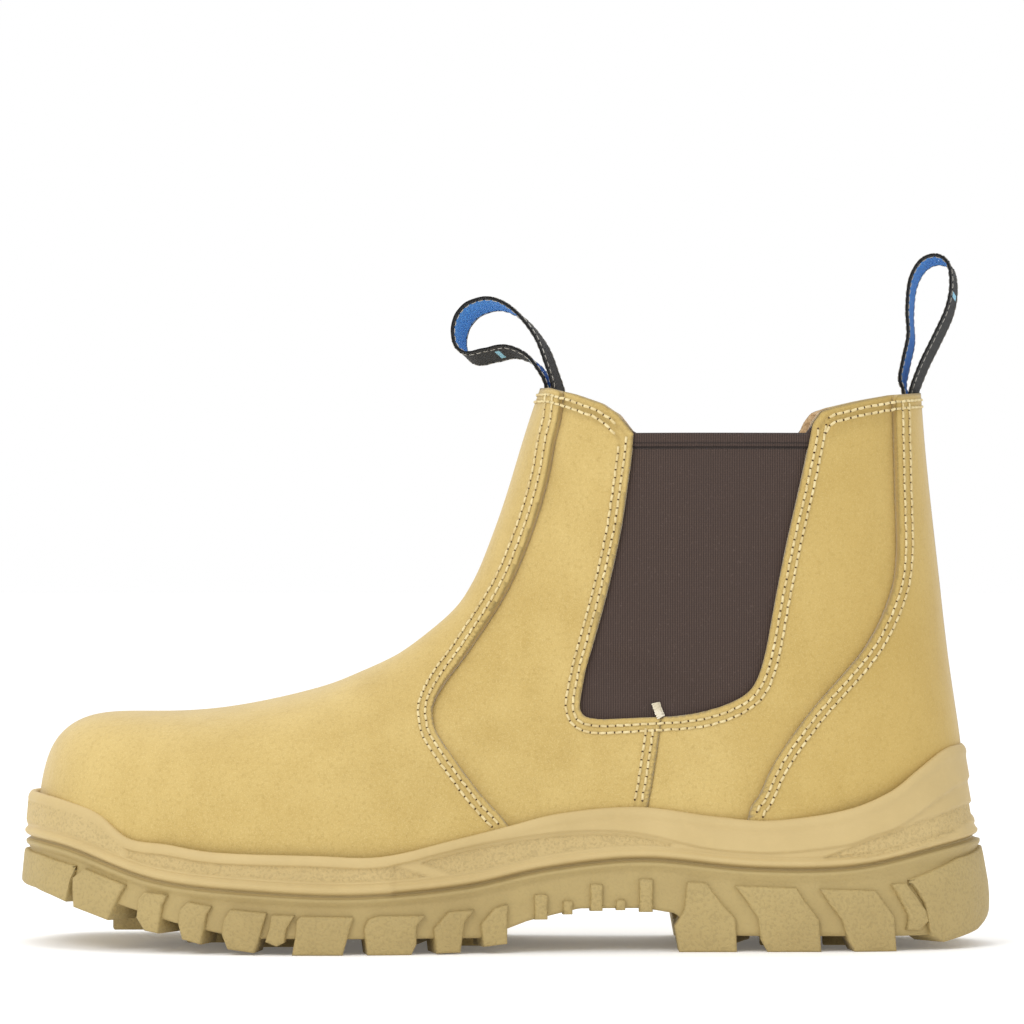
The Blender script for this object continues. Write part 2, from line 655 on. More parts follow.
def panel(name, field, depth, thickness, material, row=None, radius=EDGE_RADIUS):
    """Leather or fabric panel: an outer face, a rounded edge and an inner face."""
    points, index, faces, value = cut_sheet(field)
    normals = NORMAL[index]
    depth = depth[index] if isinstance(depth, np.ndarray) else np.full(len(points), depth)
    outer = points - normals * depth[:, None]
    inner = outer - normals * thickness
    row_marks = row[index] if row is not None else np.full(len(points), FAR)
    count = len(points)
    all_points = [outer, inner]
    edge = [value, np.full(count, -1.0)]
    rows = [row_marks, np.full(count, FAR)]
    out_faces = [list(f) for f in faces] + [[count + k for k in reversed(f)] for f in faces]
    base = 2 * count
    for loop in edge_loops(faces):
        ring = np.array(loop)
        along = unit(np.roll(outer[ring], -1, 0) - np.roll(outer[ring], 1, 0))
        away = unit(np.cross(along, normals[ring]))
        for _ in range(3):
            away = unit(away * 0.5 + 0.25 * (np.roll(away, 1, 0) + np.roll(away, -1, 0)))
        previous = ring
        size = len(ring)
        for turn in (30, 60, 90):
            a = math.radians(turn)
            move = away * radius * math.sin(a) - normals[ring] * radius * (1 - math.cos(a))
            all_points.append(outer[ring] + move)
            current = base + np.arange(size)
            base += size
            edge.append(np.full(size, 0.0))
            rows.append(np.full(size, FAR))
            out_faces += [[previous[k], current[k], current[(k + 1) % size], previous[(k + 1) % size]]
                          for k in range(size)]
            previous = current
        low = count + ring
        out_faces += [[previous[k], low[k], low[(k + 1) % size], previous[(k + 1) % size]]
                      for k in range(size)]
    marks = {"edge_mm": np.concatenate(edge), "row_mm": np.concatenate(rows)}
    return new_object(name, np.vstack(all_points), out_faces, material, marks)


def nearest(*fields):
    return np.minimum.reduce(fields)


def row_distance(*fields):
    """Distance to the closest sewn edge."""
    return nearest(*[np.abs(f) for f in fields])


def make_panels():
    """Every panel of the upper, by key."""
    whole = nearest(BELOW_COLLAR, ABOVE_WELT)
    made = {}
    made["vamp"] = panel("vamp", nearest(whole, LEFT_OF_VAMP_EDGE), 0.0, LEATHER, SUEDE,
                         row_distance(LEFT_OF_VAMP_EDGE, BELOW_COLLAR))
    made["back_panel"] = panel("heel_counter_panel", nearest(whole, RIGHT_OF_COUNTER), 0.0, LEATHER, SUEDE,
                               row_distance(RIGHT_OF_COUNTER, BELOW_COLLAR))
    seams = row_distance(OUTSIDE_GORE, BELOW_COLLAR)
    under_gore = np.where(SZ < UNDER_GORE_Z + 3.0, LEFT_OF_SEAM, FAR)
    lapped = QUARTER_DEPTH + 0.9 * ramp(LEFT_OF_SEAM, -1.0, 0.5)
    hem = GORE_DEPTH - 0.4 - 0.7 * ramp(GORE_HEM - BELOW_COLLAR, -0.3, 0.3)
    for side, this_side in (("outer", -SY), ("inner", SY)):
        half = nearest(whole, this_side)
        front = nearest(half, SEAM_LAP - LEFT_OF_VAMP_EDGE, OUTSIDE_GORE, LEFT_OF_SEAM)
        rear = nearest(half, SEAM_LAP - RIGHT_OF_COUNTER, OUTSIDE_GORE, QUARTER_LAP - LEFT_OF_SEAM)
        gore = nearest(half, SEAM_LAP - OUTSIDE_GORE, GORE_LAP - LEFT_OF_VAMP_EDGE,
                       GORE_LAP - RIGHT_OF_COUNTER)
        made["front_" + side] = panel("front_quarter_leather_" + side, front, QUARTER_DEPTH, LEATHER, SUEDE,
                                      row_distance(seams, under_gore))
        made["rear_" + side] = panel("rear_quarter_leather_" + side, rear, lapped, LEATHER, SUEDE, seams)
        made["gore_" + side] = panel("gore_elastic_" + side, gore, hem, GORE_THICKNESS, GORE, BELOW_COLLAR,
                                     radius=0.5)
    lining_depth = LINING_DEPTH + 1.5 * ramp(-OUTSIDE_GORE, -9.0, -5.0)
    made["lining"] = panel("lining", nearest(BELOW_COLLAR - 0.4, ABOVE_WELT), lining_depth,
                           LINING_THICKNESS, LINING, radius=0.5)
    return made


# ---- stitching ---------------------------------------------------------------------------------
def on_side(line, side, depth, keep):
    """Points on the skin under a line of the side view, with their normals."""
    path = []
    for x, z in line:
        if not keep(x, z):
            continue
        hit, normal, _, _ = SKIN_TREE.ray_cast(Vector((x, side * 120, z)), Vector((0, -side, 0)), 119.5)
        if hit is None:
            continue
        away = normal if normal.y * side > 0 else -normal
        path.append((np.array(hit - away * depth), np.array(away)))
    return path


def on_contour(field, value, depth, keep):
    """Points where the skin crosses one value of a field, column by column over the ridge."""
    path = []
    for j in range(field.shape[1]):
        column = field[:, j] - value
        cross = np.nonzero((column[:-1] > 0) & (column[1:] <= 0))[0]
        for i in cross[:1]:
            t = column[i] / (column[i] - column[i + 1])
            point = SKIN[i, j] * (1 - t) + SKIN[i + 1, j] * t
            if keep(point[0], point[2]):
                away = NORMAL[i, j]
                path.append((point - away * depth, away))
    return path


def even_steps(path, pitch):
    """Places at an even pitch along a path: point, normal and direction of travel."""
    if len(path) < 3:
        return []
    points = np.array([p for p, _ in path])
    normals = np.array([n for _, n in path])
    step = np.linalg.norm(np.diff(points, axis=0), axis=1)
    if step.max() > 12:
        cut = int(step.argmax()) + 1
        return even_steps(path[:cut], pitch) + even_steps(path[cut:], pitch)
    travelled = np.concatenate([[0], np.cumsum(step)])
    places = []
    for s in np.arange(pitch / 2, travelled[-1], pitch):
        at = np.array([np.interp(s, travelled, points[:, k]) for k in range(3)])
        ahead = np.array([np.interp(s + 1, travelled, points[:, k]) for k in range(3)])
        behind = np.array([np.interp(s - 1, travelled, points[:, k]) for k in range(3)])
        up = unit(np.array([np.interp(s, travelled, normals[:, k]) for k in range(3)]))
        places.append((at, up, unit(ahead - behind)))
    return places


def stitch_mesh(name, places, thread_material, hole_material, length=STITCH_LENGTH, radius=THREAD_RADIUS,
                lift=0.16, seed=1):
    """A row of short thread loops, each dipping into a dark needle hole at both ends."""
    chance = random.Random(seed)
    points = []
    faces = []
    kinds = []
    sides = 6
    profile = [(-0.5, -0.35, 0.7), (-0.40, 0.10, 0.95), (-0.16, 0.30, 1.0), (0.16, 0.30, 1.0),
               (0.40, 0.10, 0.95), (0.5, -0.35, 0.7)]
    for at, up, run in places:
        slant = chance.uniform(-0.10, 0.16)
        size = length * chance.uniform(0.92, 1.06)
        across = unit(np.cross(up, run))
        run = unit(run + across * slant)
        across = unit(np.cross(up, run))
        base = len(points)
        for s, rise, thick in profile:
            middle = at + run * s * size + up * (lift + rise * radius)
            for k in range(sides):
                a = 2 * math.pi * k / sides
                around = across * math.cos(a) * 1.1 + up * math.sin(a) * 0.85
                points.append(middle + radius * thick * around)
        for ring in range(len(profile) - 1):
            for k in range(sides):
                a = base + ring * sides + k
                b = base + ring * sides + (k + 1) % sides
                faces.append((a, b, b + sides, a + sides))
                kinds.append(0)
        base = len(points)
        hole = at + run * (STITCH_PITCH * 0.5) + up * 0.05
        for k in range(8):
            a = 2 * math.pi * k / 8
            points.append(hole + 0.36 * (across * math.cos(a) + run * math.sin(a)))
        for k in range(8):
            a = 2 * math.pi * k / 8
            points.append(hole - up * 0.5 + 0.2 * (across * math.cos(a) + run * math.sin(a)))
        points.append(hole + up * 0.04)
        for k in range(8):
            faces.append((base + k, base + (k + 1) % 8, base + 16))
            faces.append((base + 8 + k, base + 8 + (k + 1) % 8, base + (k + 1) % 8, base + k))
            kinds += [1, 1]
    return new_object(name, points, faces, [thread_material, hole_material], face_material=kinds)


def make_stitching():
    """Twin rows along each seam, and along the collar in front of and behind the gores."""
    def above_sole(x, z):
        return z > height_at(SOLE_RIM, x) + 0.8

    def below_top(x, z):
        return side_of(LINE_COLLAR, np.array([x]), np.array([z]))[0]

    def shown(x, z):
        return above_sole(x, z) and below_top(x, z) > 1.2

    def low_seam(x, z):
        return above_sole(x, z) and z < UNDER_GORE_Z

    made = []
    for side, word in ((-1, "outer"), (1, "inner")):
        vamp_rows = []
        counter_rows = []
        quarter_rows = []
        for row in SEWN_ROWS:
            def inside(x, z):
                return below_top(x, z) > row - 0.4

            for rows, line, shift, depth, keep in (
                (vamp_rows, LINE_VAMP, row, 0.0, shown), (counter_rows, LINE_COUNTER, -row, 0.0, shown),
                (quarter_rows, LINE_GORE, row, QUARTER_DEPTH, inside),
                (quarter_rows, LINE_SEAM, row, QUARTER_DEPTH, low_seam),
            ):
                rows += even_steps(on_side(offset_line(line, shift), side, depth, keep), STITCH_PITCH)
        for seam, rows, seed in (
            ("vamp", vamp_rows, 3), ("back", counter_rows, 5), ("quarter", quarter_rows, 7),
        ):
            name = seam + "_seam_stitches_" + word
            made.append(stitch_mesh(name, rows, CREAM_THREAD, NEEDLE_HOLE, seed=seed))
    collar = []
    for row in SEWN_ROWS:
        for keep in (lambda x, z: x < 36, lambda x, z: x > 101):
            collar += even_steps(on_contour(BELOW_COLLAR, row, 0.0, keep), STITCH_PITCH)
    made.append(stitch_mesh("collar_stitches", collar, CREAM_THREAD, NEEDLE_HOLE, seed=11))
    return made


def make_bar_tacks():
    """Dense pale zigzag that locks the foot of each gore."""
    made = []
    for side, word in ((-1, "outer"), (1, "inner")):
        line = np.array([(47.6 + 0.15 * k, 78.4 - 0.42 * k) for k in range(12)])
        places = []
        for at, up, run in even_steps(on_side(line, side, QUARTER_DEPTH - 0.15, lambda x, z: True), 0.42):
            places.append((at, up, unit(np.cross(up, run))))
        made.append(stitch_mesh("gore_bar_tack_" + word, places, PALE_TACK, PALE_TACK,
                                length=2.3, radius=0.27))
    return made


# ---- sole --------------------------------------------------------------------------------------
SPINE_HEEL, SPINE_TOE = 100.0, -95.0
# Below this height the sole's wall stands upright.
STRAIGHT_TO = 18.0
SIDEWALL_INSET = 1.8
LUG_DEPTH = 15.0
RIB_DEPTH = 4.0


def sole_directions():
    """Rays round the sole from heel tip along the outer side to the toe and back: start (x, y), direction."""
    rays = [((SPINE_HEEL, 0.0), -a) for a in np.arange(0, 90, 1.5)]
    rays += [((x, 0.0), -90.0) for x in np.arange(SPINE_HEEL, SPINE_TOE, -1.3)]
    rays += [((SPINE_TOE, 4.0), -a) for a in np.arange(90, 270, 1.5)]
    rays += [((x, 0.0), 90.0) for x in np.arange(SPINE_TOE, SPINE_HEEL, 1.3)]
    rays += [((SPINE_HEEL, 0.0), a) for a in np.arange(90, 0, -1.5)]
    return rays


def cast_wall(tree, lift):
    """Outline of the midsole's wall, a set height above the groove."""
    outline = []
    for (x, y), degrees in sole_directions():
        a = math.radians(degrees)
        out = Vector((math.cos(a), math.sin(a), 0))
        guess = x + out.x * 52
        hit = None
        for _ in range(2):
            z = float(height_at(GROOVE_LINE, guess)) + lift
            hit, _, _, _ = tree.ray_cast(Vector((x, y, z)) + out * 150, -out, 149)
            if hit is not None:
                guess = hit.x
        outline.append(tuple(hit) if hit is not None else (math.nan,) * 3)
    wall = np.array(outline)
    good = ~np.isnan(wall[:, 0])
    every = np.arange(len(wall))
    for axis in range(3):
        wall[:, axis] = np.interp(every, every[good], wall[good, axis])
    return wall


MIDSOLE_TREE, _ = tree_of(["midsole_forefoot", "midsole_rear"])
WALL_LOW = cast_wall(MIDSOLE_TREE, 1.5)
WALL_HIGH = cast_wall(MIDSOLE_TREE, 8.0)
WALL_SLOPE = (WALL_HIGH - WALL_LOW)[:, :2] / np.maximum((WALL_HIGH - WALL_LOW)[:, 2:], 1.0)


def away_from(wall):
    """Outward direction at each point of the wall."""
    away = unit(np.column_stack([
        np.roll(wall[:, 1], 1) - np.roll(wall[:, 1], -1),
        np.roll(wall[:, 0], -1) - np.roll(wall[:, 0], 1),
    ]))
    return away * np.sign((away * (wall[:, :2] - np.array([-5.0, 0.0]))).sum(1))[:, None]


# The rim stands at least this far outside the leather, in mm.
RIM_COVER = 2.2
RIM_REACH = 25.0
RIM_SPREAD = 9


def rim_push(wall, away):
    """How far the wall moves out, point by point, where the leather at the rim would stand outside it."""
    tree, _ = tree_of(["vamp_toe"])
    rim = height_at(SOLE_RIM, wall[:, 0])
    push = np.zeros(len(wall))
    for k, (x, y) in enumerate(wall[:, :2]):
        out = Vector((away[k, 0], away[k, 1], 0))
        _, _, _, gap = tree.ray_cast(Vector((x, y, rim[k])) + out * RIM_REACH, -out, RIM_REACH + 8)
        if gap is not None:
            push[k] = max(0.0, RIM_COVER + RIM_REACH - gap)
    wide = np.max([np.roll(push, d) for d in range(-RIM_SPREAD, RIM_SPREAD + 1)], axis=0)
    bell = np.hanning(2 * RIM_SPREAD + 3)[1:-1]
    return sum(np.roll(wide, d) * w for d, w in zip(range(-RIM_SPREAD, RIM_SPREAD + 1), bell / bell.sum()))


WALL_AWAY = away_from(WALL_LOW)
WALL_LOW[:, :2] += WALL_AWAY * rim_push(WALL_LOW, WALL_AWAY)[:, None]
WALL_AWAY = away_from(WALL_LOW)


def wall_at(z):
    """Outline of the sole at heights z, one per ray."""
    rise = np.maximum(z, STRAIGHT_TO) - WALL_LOW[:, 2]
    return WALL_LOW[:, :2] + WALL_SLOPE * rise[:, None]


def inside_band(z, low, high):
    return np.minimum(z - low, high - z)


def sole_relief(x, z):
    """Outward relief of the side wall in mm, and where it is pebbled and hollow."""
    groove = height_at(GROOVE_LINE, x)
    rim = height_at(SOLE_RIM, x)
    contour = height_at(CONTOUR_LINE, x)
    diagonal = np.array([(-36, 31), (-32.4, 28.9), (-21, 25.2), (-10.6, 21.1), (-6, 19)], float)
    past_ridge = side_of(diagonal[::-1], x, z)
    waist = nearest(inside_band(z, groove + 4.0, contour - 1.0), past_ridge - 1.4, (54 - x) * 0.35)
    forefoot = nearest(inside_band(z, groove + 4.2, rim - 3.0), -past_ridge - 1.4, (x + 120) * 0.5)
    toe = nearest(inside_band(z, groove + 4.2, rim - 2.6), (-120 - x) * 0.5)
    heel_top = np.interp(x, [98, 109.6, 122.7, 136, 150], [28.9, 33.2, 37.8, 41.8, 45.4])
    heel_low = np.interp(x, [98, 116.4, 133.3, 143.3, 153], [28.9, 29.2, 32.6, 36.0, 41.2])
    heel = np.minimum(inside_band(z, heel_low, heel_top), x - 100)
    panels = np.maximum.reduce([waist, forefoot, heel])
    pebble = ramp(np.maximum(panels, toe), 0.1, 0.7)
    relief = -0.85 * ramp(panels, 0.0, 0.7) + 0.35 * ramp(toe, 0.0, 1.5)
    step = np.where(x > -34, ramp(contour - z, -0.3, 0.6), 0.0)
    relief -= 0.85 * step
    cut = np.exp(-((z - groove) / 0.75) ** 2)
    relief -= 1.7 * cut
    relief += 0.5 * np.exp(-((z - groove - 2.0) / 0.8) ** 2)
    relief -= 0.45 * np.exp(-((z - groove - 3.5) / 0.5) ** 2)
    relief += 0.45 * np.exp(-((z - rim + 2.2) / 1.3) ** 2)
    below = z < groove - 0.6
    relief = np.where(below, -SIDEWALL_INSET + 1.5 * ramp(z, groove - 3.4, groove - 1.6), relief)
    pebble = np.where(below, 0.25, pebble)
    return relief, pebble, np.maximum(cut * 0.9, 0.25 * step * ramp(z - contour, -1.4, 0.2))


def make_sole():
    """One continuous moulding: side wall with its relief, rim, inner wall and tread base."""
    x = WALL_LOW[:, 0]
    groove = height_at(GROOVE_LINE, x)
    rim = height_at(SOLE_RIM, x)
    base = straight_height_at(BASE_LINE, x)
    levels = [base + (groove - 2 - base) * t for t in np.linspace(0, 1, 12)]
    levels += [groove + d for d in (-1.5, -1.0, -0.6, -0.3, 0, 0.3, 0.6, 1.0, 1.5, 2.2)]
    levels += [groove + 2.2 + (rim - 1.0 - groove - 2.2) * t for t in np.linspace(0, 1, 34)[1:]]
    rows = []
    pebbles = []
    hollows = []
    for z in levels:
        relief, pebble, hollow = sole_relief(x, z)
        spot = wall_at(z) + WALL_AWAY * relief[:, None]
        rows.append(np.column_stack([spot, z]))
        pebbles.append(pebble)
        hollows.append(hollow)
    top = wall_at(rim)
    for inward, drop in (
        (0.1, 0.45), (0.5, 0.08), (1.1, 0.0), (1.7, 0.15), (2.2, 0.6), (2.9, 2.2), (3.6, 6.5),
    ):
        rows.append(np.column_stack([top - WALL_AWAY * inward, rim - drop]))
        pebbles.append(np.zeros(len(x)))
        hollows.append(np.full(len(x), 0.8 * ramp(np.array(inward), 1.6, 3.0)))
    rim_rows = len(rows)
    first = rows[0]
    for inward, drop in ((0.35, 0.35), (1.2, 0.5)):
        rows.append(np.column_stack([first[:, :2] - WALL_AWAY * inward, first[:, 2] - drop + 0.3]))
        pebbles.append(np.full(len(x), 0.4))
        hollows.append(np.full(len(x), 0.3))
    count = len(x)
    faces = ring_faces(count, rim_rows)
    chain = [0, rim_rows, rim_rows + 1]
    for low, high in zip(chain[1:], chain):
        for k in range(count):
            a, b = low * count + k, low * count + (k + 1) % count
            faces.append((a, b, high * count + (k + 1) % count, high * count + k))
    last = (rim_rows + 1) * count
    for k in range(count // 2 - 1):
        faces.append((last + k, last + (count - 1 - k), last + (count - 2 - k), last + k + 1))
    faces = [tuple(reversed(f)) for f in faces]
    kinds = [1 if min(face) // count < 14 or min(face) // count >= rim_rows else 0 for face in faces]
    sole = new_object("sole", np.vstack(rows), faces, [MIDSOLE, TREAD],
                      {"pebble": np.concatenate(pebbles), "hollow": np.concatenate(hollows)}, kinds)
    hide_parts("midsole_forefoot", "midsole_rear", "outsole_forefoot", "outsole_rear")
    return sole


def outline_length():
    run = np.linalg.norm(np.roll(WALL_LOW[:, :2], -1, 0) - WALL_LOW[:, :2], axis=1)
    return np.concatenate([[0], np.cumsum(run)])[:-1]


ALONG = outline_length()
TIP_INDEX = int(WALL_LOW[:, 0].argmin())


def edge_spot(kind, s, z):
    """Point of the outline at a height and its outward direction. kind: outer, inner, toe or heel."""
    if kind in ("outer", "inner"):
        part = slice(8, TIP_INDEX - 8) if kind == "outer" else slice(TIP_INDEX + 8, len(WALL_LOW) - 8)
        xs = WALL_LOW[part, 0]
        order = np.argsort(xs)
        pick = lambda column: np.interp(s, xs[order], column[part][order])
    else:
        middle = ALONG[TIP_INDEX] if kind == "toe" else 0.0
        total = ALONG[-1] + 1.3
        distance = (ALONG - middle + total / 2) % total - total / 2
        order = np.argsort(distance)
        pick = lambda column: np.interp(s, distance[order], column[order])
    rise = max(z, STRAIGHT_TO) - pick(WALL_LOW[:, 2])
    spot = np.array([pick(WALL_LOW[:, k]) + pick(WALL_SLOPE[:, k]) * rise for k in (0, 1)])
    away = unit(np.array([pick(WALL_AWAY[:, 0]), pick(WALL_AWAY[:, 1])]))
    return spot, away


FOREFOOT_LUGS = [
    [(-135.7, 22.6), (-132.2, 25.7), (-118.8, 21), (-121, 16.7), (-124.1, 9.8), (-135, 13.4)],
    [(-114.5, 17), (-112.6, 19.2), (-105.4, 18.3), (-107, 15.1), (-108.2, 6.2), (-112.6, 7), (-115.1, 11)],
    [(-101.4, 14), (-98.9, 16.4), (-91.4, 15.1), (-92.9, 12.6), (-94.8, 3.1), (-100.7, 4.6), (-102, 9.5)],
    [(-87.6, 11.1), (-85.4, 14.2), (-73.9, 13.3), (-76.7, 3.9), (-78, 0.7), (-86.4, 1.8), (-88.2, 6.4)],
    [(-72.5, 12.6), (-65.2, 12.6), (-67.8, 8), (-68.4, 4), (-71, 2.8), (-74.5, 4.2), (-73, 9.8)],
    [(-64.8, 10.8), (-63.3, 12.3), (-46.8, 12), (-48.6, 5.5), (-50.2, 0), (-66.1, 0), (-65, 6)],
]
REAR_LUGS = [
    [(-43.6, 8), (-42.4, 11), (-39.3, 12.3), (-24.3, 12.3), (-27.1, 9), (-27.1, 3.3), (-28.7, 0), (-42.4, 0)],
    [(-21.8, 8), (-17.1, 13.3), (-9, 13.9), (-12.1, 10), (-13.4, 0.5), (-20.9, 0.3)],
    [(-7.1, 9.2), (-2.8, 14.2), (1.3, 15.5), (1.2, 3), (-6.2, 2.2)],
    [(56.5, 13.3), (57.5, 22), (63.4, 21.7), (68.4, 15.1), (72.7, 10.5), (73.1, 0), (55, 0), (53.5, 8)],
    [(72.4, 20.8), (91.8, 20.1), (94, 16.6), (99, 10.1), (99.6, 0), (82.7, 0), (80.5, 3.9), (79.6, 10.7),
     (75.9, 16.1)],
    [(99, 19.8), (116.4, 19.2), (118, 16.7), (122, 11.1), (122.7, 0), (109.9, 0), (107.7, 3.9), (106, 9.8),
     (102, 15.1)],
    [(121.4, 21), (125.8, 21.4), (131.7, 12.6), (132.5, 9.2), (129.8, 6.4), (125.8, 6.6), (126.4, 11)],
]
# The end lugs wrap round the toe and the heel: distance along the outline from the tip, height.
TOE_LUG = [
    (-43.5, 26.4), (-24, 29.2), (0, 30.2), (24, 29.2), (43.5, 26.4), (41, 14.8), (34, 16.6), (24, 18.5),
    (0, 20.0), (-24, 18.5), (-34, 16.6), (-41, 14.8),
]
HEEL_LUG = [
    (-45, 22.3), (-25, 28.4), (0, 31.5), (25, 28.4), (45, 22.3), (40, 14.5), (38, 4.5), (33, 2.4),
    (17, 5.5), (0, 12.0), (-17, 5.5), (-33, 2.4), (-38, 4.5), (-40, 14.5),
]
WAIST_RIBS = [
    (11.8, 4.0, 18.3, 10.5), (20.2, 2.8, 16.2, 12.0), (29.1, 3.8, 21.4, 13.0),
    (36.7, 2.8, 16.4, 13.2), (44.6, 4.2, 22.9, 12.6),
]
CENTRE_CLEATS = [
    (-112, 16, 34), (-90, 14, 44), (-68, 14, 46), (-32, 14, 40), (-10, 12, 34),
    (70, 12, 26), (90, 12, 30), (110, 12, 28),
]


def split_long(outline, longest=3.0):
    points = []
    for (x0, z0), (x1, z1) in zip(outline, outline[1:] + outline[:1]):
        parts = max(1, int(math.hypot(x1 - x0, z1 - z0) / longest + 0.5))
        points += [(x0 + (x1 - x0) * k / parts, z0 + (z1 - z0) * k / parts) for k in range(parts)]
    return points


def shrink(outline, amount):
    """Outline with its border moved inwards, for a rounded edge."""
    p = np.array(outline, float)
    run = unit(np.roll(p, -1, 0) - np.roll(p, 1, 0))
    sense = np.sign(((np.roll(p, -1, 0) - p)[:, 0] * (np.roll(p, -1, 0) + p)[:, 1]).sum())
    return p + amount * sense * np.column_stack([run[:, 1], -run[:, 0]])


def lug_part(outline, kind, depth):
    """Rounded block standing on the edge of the sole, following its outline."""
    dense = split_long(outline)
    layers = [(0.0, 0.9), (0.12, 0.45), (0.45, 0.12), (0.9, 0.0), (depth * 0.5, 0.0), (depth, 0.0)]
    points = []
    for inward, margin in layers:
        for s, z in shrink(dense, margin):
            spot, away = edge_spot(kind, s, z)
            place = spot - away * inward
            points.append((place[0], place[1], z))
    size = len(dense)
    faces = ring_faces(size, len(layers))
    last = (len(layers) - 1) * size
    faces.append(tuple(reversed(range(size))))
    faces.append(tuple(range(last, last + size)))
    return points, faces


def end_lug(outline, kind, depth):
    """Lug that wraps round the toe or the heel: rounded sections placed along the outline."""
    tips = np.array(outline, float)
    reach = tips[:, 0].max()
    top = tips[:5]
    low = np.vstack([tips[4:], tips[:1]])
    low = low[np.argsort(low[:, 0])]
    points = []
    faces = []
    steps = np.linspace(-reach, reach, 91)
    for s in steps:
        z_top = np.interp(s, top[:, 0], top[:, 1])
        z_low = min(np.interp(s, low[:, 0], low[:, 1]), z_top - 1.4)
        end_round = 0.9 * max(0.0, 1 - (reach - abs(s)) / 1.2)
        section = [(z_top - 0.0, depth), (z_top, 0.9), (z_top - 0.12, 0.4), (z_top - 0.5, 0.08)]
        section += [(z_top + (z_low - z_top) * t, 0.0) for t in (0.15, 0.35, 0.55, 0.75, 0.9)]
        section += [(z_low + 0.5, 0.08), (z_low + 0.12, 0.4), (z_low, 0.9), (z_low, depth)]
        for z, inward in section:
            spot, away = edge_spot(kind, s, z)
            place = spot - away * max(inward, end_round)
            points.append((place[0], place[1], z))
    size = len(points) // len(steps)
    for c in range(len(steps) - 1):
        for k in range(size - 1):
            a = c * size + k
            faces.append((a, a + 1, a + size + 1, a + size))
    faces.append(tuple(range(size)))
    faces.append(tuple(reversed(range(len(points) - size, len(points)))))
    return points, faces


def joined(parts):
    points = []
    faces = []
    for some, more in parts:
        base = len(points)
        points += list(some)
        faces += [tuple(base + k for k in f) for f in more]
    return points, faces


def cleat_part(middle, length, width):
    """Slanted rounded bar in the middle of the tread."""
    lift = 0.3 + max(0.0, (-82 - middle) * 0.17)
    slant = length * 0.25
    plan = split_long([
        (middle - length / 2 - slant, -width / 2), (middle + length / 2 - slant, -width / 2),
        (middle + length / 2 + slant, width / 2), (middle - length / 2 + slant, width / 2),
    ], 4.0)
    points = []
    for margin, z in ((0.9, lift), (0.3, lift + 0.25), (0.0, lift + 0.9), (0.0, lift + 8.0)):
        points += [(x, y, z) for x, y in shrink(plan, margin)]
    size = len(plan)
    faces = ring_faces(size, 4)
    points.append((middle, 0.0, lift))
    faces += [(4 * size, (k + 1) % size, k) for k in range(size)]
    return points, faces


def make_lugs():
    """Edge lugs, middle cleats and waist ribs: one piece in front of the ball, one behind it."""
    for name, outlines, end, kind_of_end, cleats, ribs in (
        ("forefoot_lugs", FOREFOOT_LUGS, TOE_LUG, "toe", CENTRE_CLEATS[:3], []),
        ("rear_lugs", REAR_LUGS, HEEL_LUG, "heel", CENTRE_CLEATS[3:], WAIST_RIBS),
    ):
        parts = [lug_part(outline, kind, LUG_DEPTH) for outline in outlines for kind in ("outer", "inner")]
        parts.append(end_lug(end, kind_of_end, LUG_DEPTH))
        parts += [cleat_part(*cleat) for cleat in cleats]
        for middle, width, top, bottom in ribs:
            left, right = middle - width / 2, middle + width / 2
            rib = [(left, top), (right, top), (right, bottom), (left, bottom)]
            parts += [lug_part(rib, kind, RIB_DEPTH) for kind in ("outer", "inner")]
        points, faces = joined(parts)
        marks = {"pebble": np.full(len(points), 0.75), "hollow": np.zeros(len(points))}
        lugs = new_object(name, points, faces, TREAD, marks)
        bends(lugs)


# ---- pull loops --------------------------------------------------------------------------------
FRONT_LOOP_LINE = [
    (13.3, 171.0), (13.0, 178.2), (10.6, 183.4), (6.4, 188.4), (0.0, 191.0), (-6.5, 189.9), (-12.6, 188.9),
    (-16.2, 192.0), (-16.4, 198.6), (-12.6, 204.2), (-5.1, 206.3), (2.4, 202.8), (9.2, 194.6),
    (12.9, 185.6), (15.1, 178.2), (15.4, 171.0),
]
REAR_LOOP_LINE = [
    (127.4, 170.0), (127.0, 176.6), (125.9, 180.6), (127.0, 187.0), (128.5, 194.5), (128.2, 203.0),
    (129.2, 212.2), (132.6, 218.2), (137.4, 219.9), (141.2, 217.4), (142.2, 210.6), (140.8, 203.0),
    (137.0, 194.6), (132.6, 185.6), (129.3, 176.6), (128.9, 170.0),
]
TAPE_WIDTH = 14.0
OUTSIDE_SKIN = 1
TAPE_THICKNESS = 1.0


